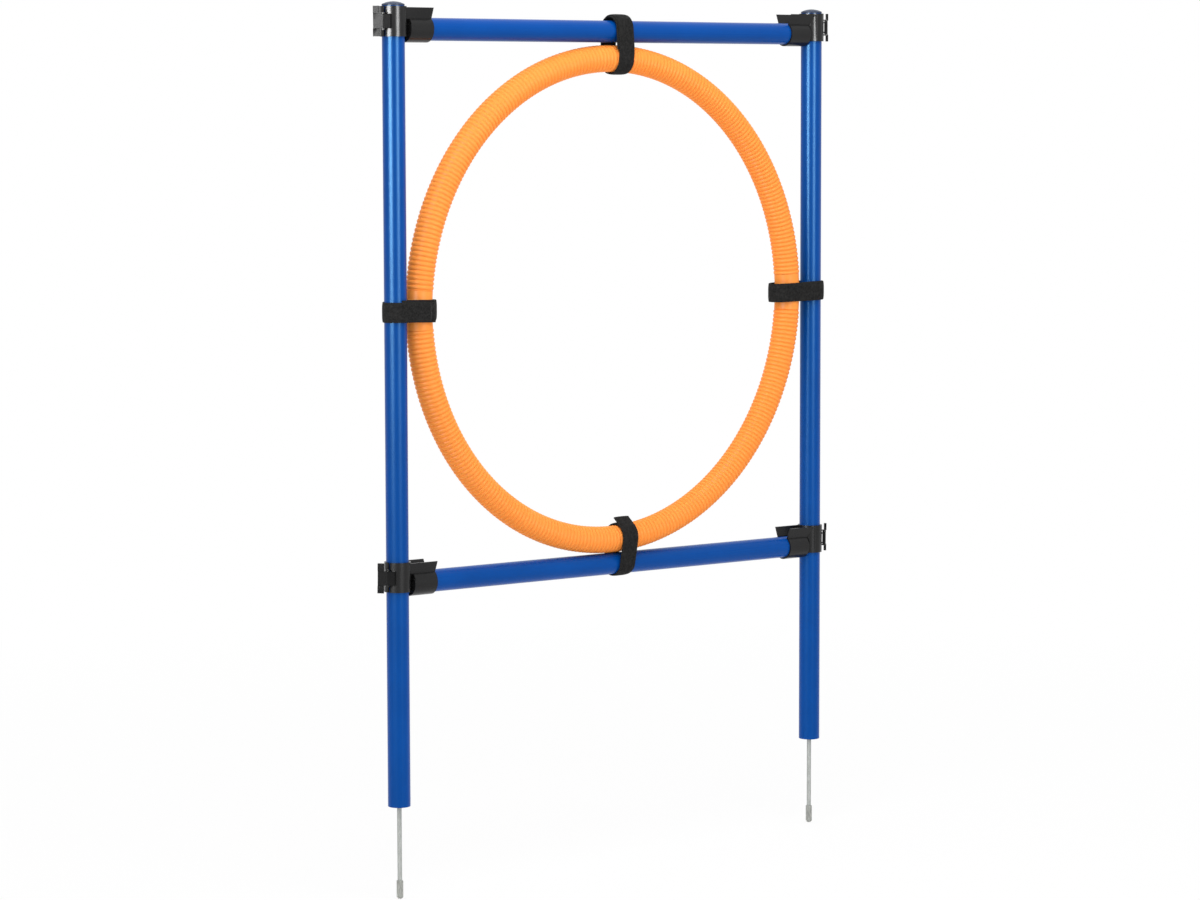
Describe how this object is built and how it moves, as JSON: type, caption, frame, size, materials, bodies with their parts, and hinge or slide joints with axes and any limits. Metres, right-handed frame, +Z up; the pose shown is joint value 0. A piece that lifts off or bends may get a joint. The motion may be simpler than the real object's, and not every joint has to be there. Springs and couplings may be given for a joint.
{
  "type": "dog agility ring jump",
  "caption": "Dog agility ring jump: a corrugated hoop strapped between staked posts and crossbars, whose snap clips slide on the posts to set its height.",
  "frame": {"origin": "on the ground line, midway between the two posts, where the feet of the tubes meet the turf", "axes": "+Z up along the posts, +X from the left post to the right post, -Y towards the viewer"},
  "size_m": [0.801, 0.0425, 1.166],
  "materials": {
    "post_tube": "glossy blue extruded tube",
    "bar_tube": "glossy blue extruded tube",
    "post_cap": "satin dark grey-blue moulding",
    "foot_plug": "plain moulded plug",
    "spike_steel": "dull zinc plating",
    "tip_cap": "milky translucent soft plastic",
    "bar_plug": "plain moulded plug",
    "clip_plastic": "glossy black moulding",
    "latch_plastic": "glossy black moulding",
    "pin_steel": "plain steel pin",
    "hose_plastic": "satin orange corrugated hose",
    "coupler_plastic": "satin orange moulded sleeve",
    "strap_webbing": "black hook-and-loop tape"
  },
  "bodies": {
    "posts": {"left_post": "post_tube", "left_top_cap": "post_cap", "left_foot_plug": "foot_plug", "left_ground_spike": "spike_steel", "right_post": "post_tube", "right_top_cap": "post_cap", "right_foot_plug": "foot_plug", "right_ground_spike": "spike_steel"},
    "hoop_frame": {"upper_bar": "bar_tube", "upper_bar_left_plug": "bar_plug", "upper_left_clip": "clip_plastic", "upper_left_latch_pin": "pin_steel", "upper_bar_right_plug": "bar_plug", "upper_right_clip": "clip_plastic", "upper_right_latch_pin": "pin_steel", "lower_bar": "bar_tube", "lower_bar_left_plug": "bar_plug", "lower_left_clip": "clip_plastic", "lower_left_latch_pin": "pin_steel", "lower_bar_right_plug": "bar_plug", "lower_right_clip": "clip_plastic", "lower_right_latch_pin": "pin_steel", "upper_hose": "hose_plastic", "lower_hose": "hose_plastic", "left_coupler": "coupler_plastic", "right_coupler": "coupler_plastic", "top_strap": "strap_webbing", "bottom_strap": "strap_webbing", "left_strap": "strap_webbing", "right_strap": "strap_webbing"},
    "upper_left_latch": {"upper_left_latch": "latch_plastic"},
    "upper_right_latch": {"upper_right_latch": "latch_plastic"},
    "lower_left_latch": {"lower_left_latch": "latch_plastic"},
    "lower_right_latch": {"lower_right_latch": "latch_plastic"},
    "left_tip_cap": {"left_tip_cap": "tip_cap"},
    "right_tip_cap": {"right_tip_cap": "tip_cap"}
  },
  "joints": [
    {"name": "hoop_height", "type": "slide", "parent": "posts", "child": "hoop_frame", "axis": [0, 0, -1], "range_m": [0, 0.25]},
    {"name": "upper_left_latch_hinge", "type": "hinge", "parent": "hoop_frame", "child": "upper_left_latch", "pos_m": [-0.38935, -0.00748, 1.0175], "axis": [0, 0, -1], "range_deg": [0, 35]},
    {"name": "upper_right_latch_hinge", "type": "hinge", "parent": "hoop_frame", "child": "upper_right_latch", "pos_m": [0.38935, -0.00748, 1.0175], "axis": [0, 0, 1], "range_deg": [0, 35]},
    {"name": "lower_left_latch_hinge", "type": "hinge", "parent": "hoop_frame", "child": "lower_left_latch", "pos_m": [-0.38935, -0.00748, 0.30212], "axis": [-0.0157, 0, -0.9999], "range_deg": [0, 35]},
    {"name": "lower_right_latch_hinge", "type": "hinge", "parent": "hoop_frame", "child": "lower_right_latch", "pos_m": [0.38935, -0.00748, 0.28988], "axis": [0.0157, 0, 0.9999], "range_deg": [0, 35]},
    {"name": "left_cap_pull", "type": "slide", "parent": "posts", "child": "left_tip_cap", "axis": [0, 0, -1], "range_m": [0, 0.16]},
    {"name": "right_cap_pull", "type": "slide", "parent": "posts", "child": "right_tip_cap", "axis": [0, 0, -1], "range_m": [0, 0.16]}
  ]
}
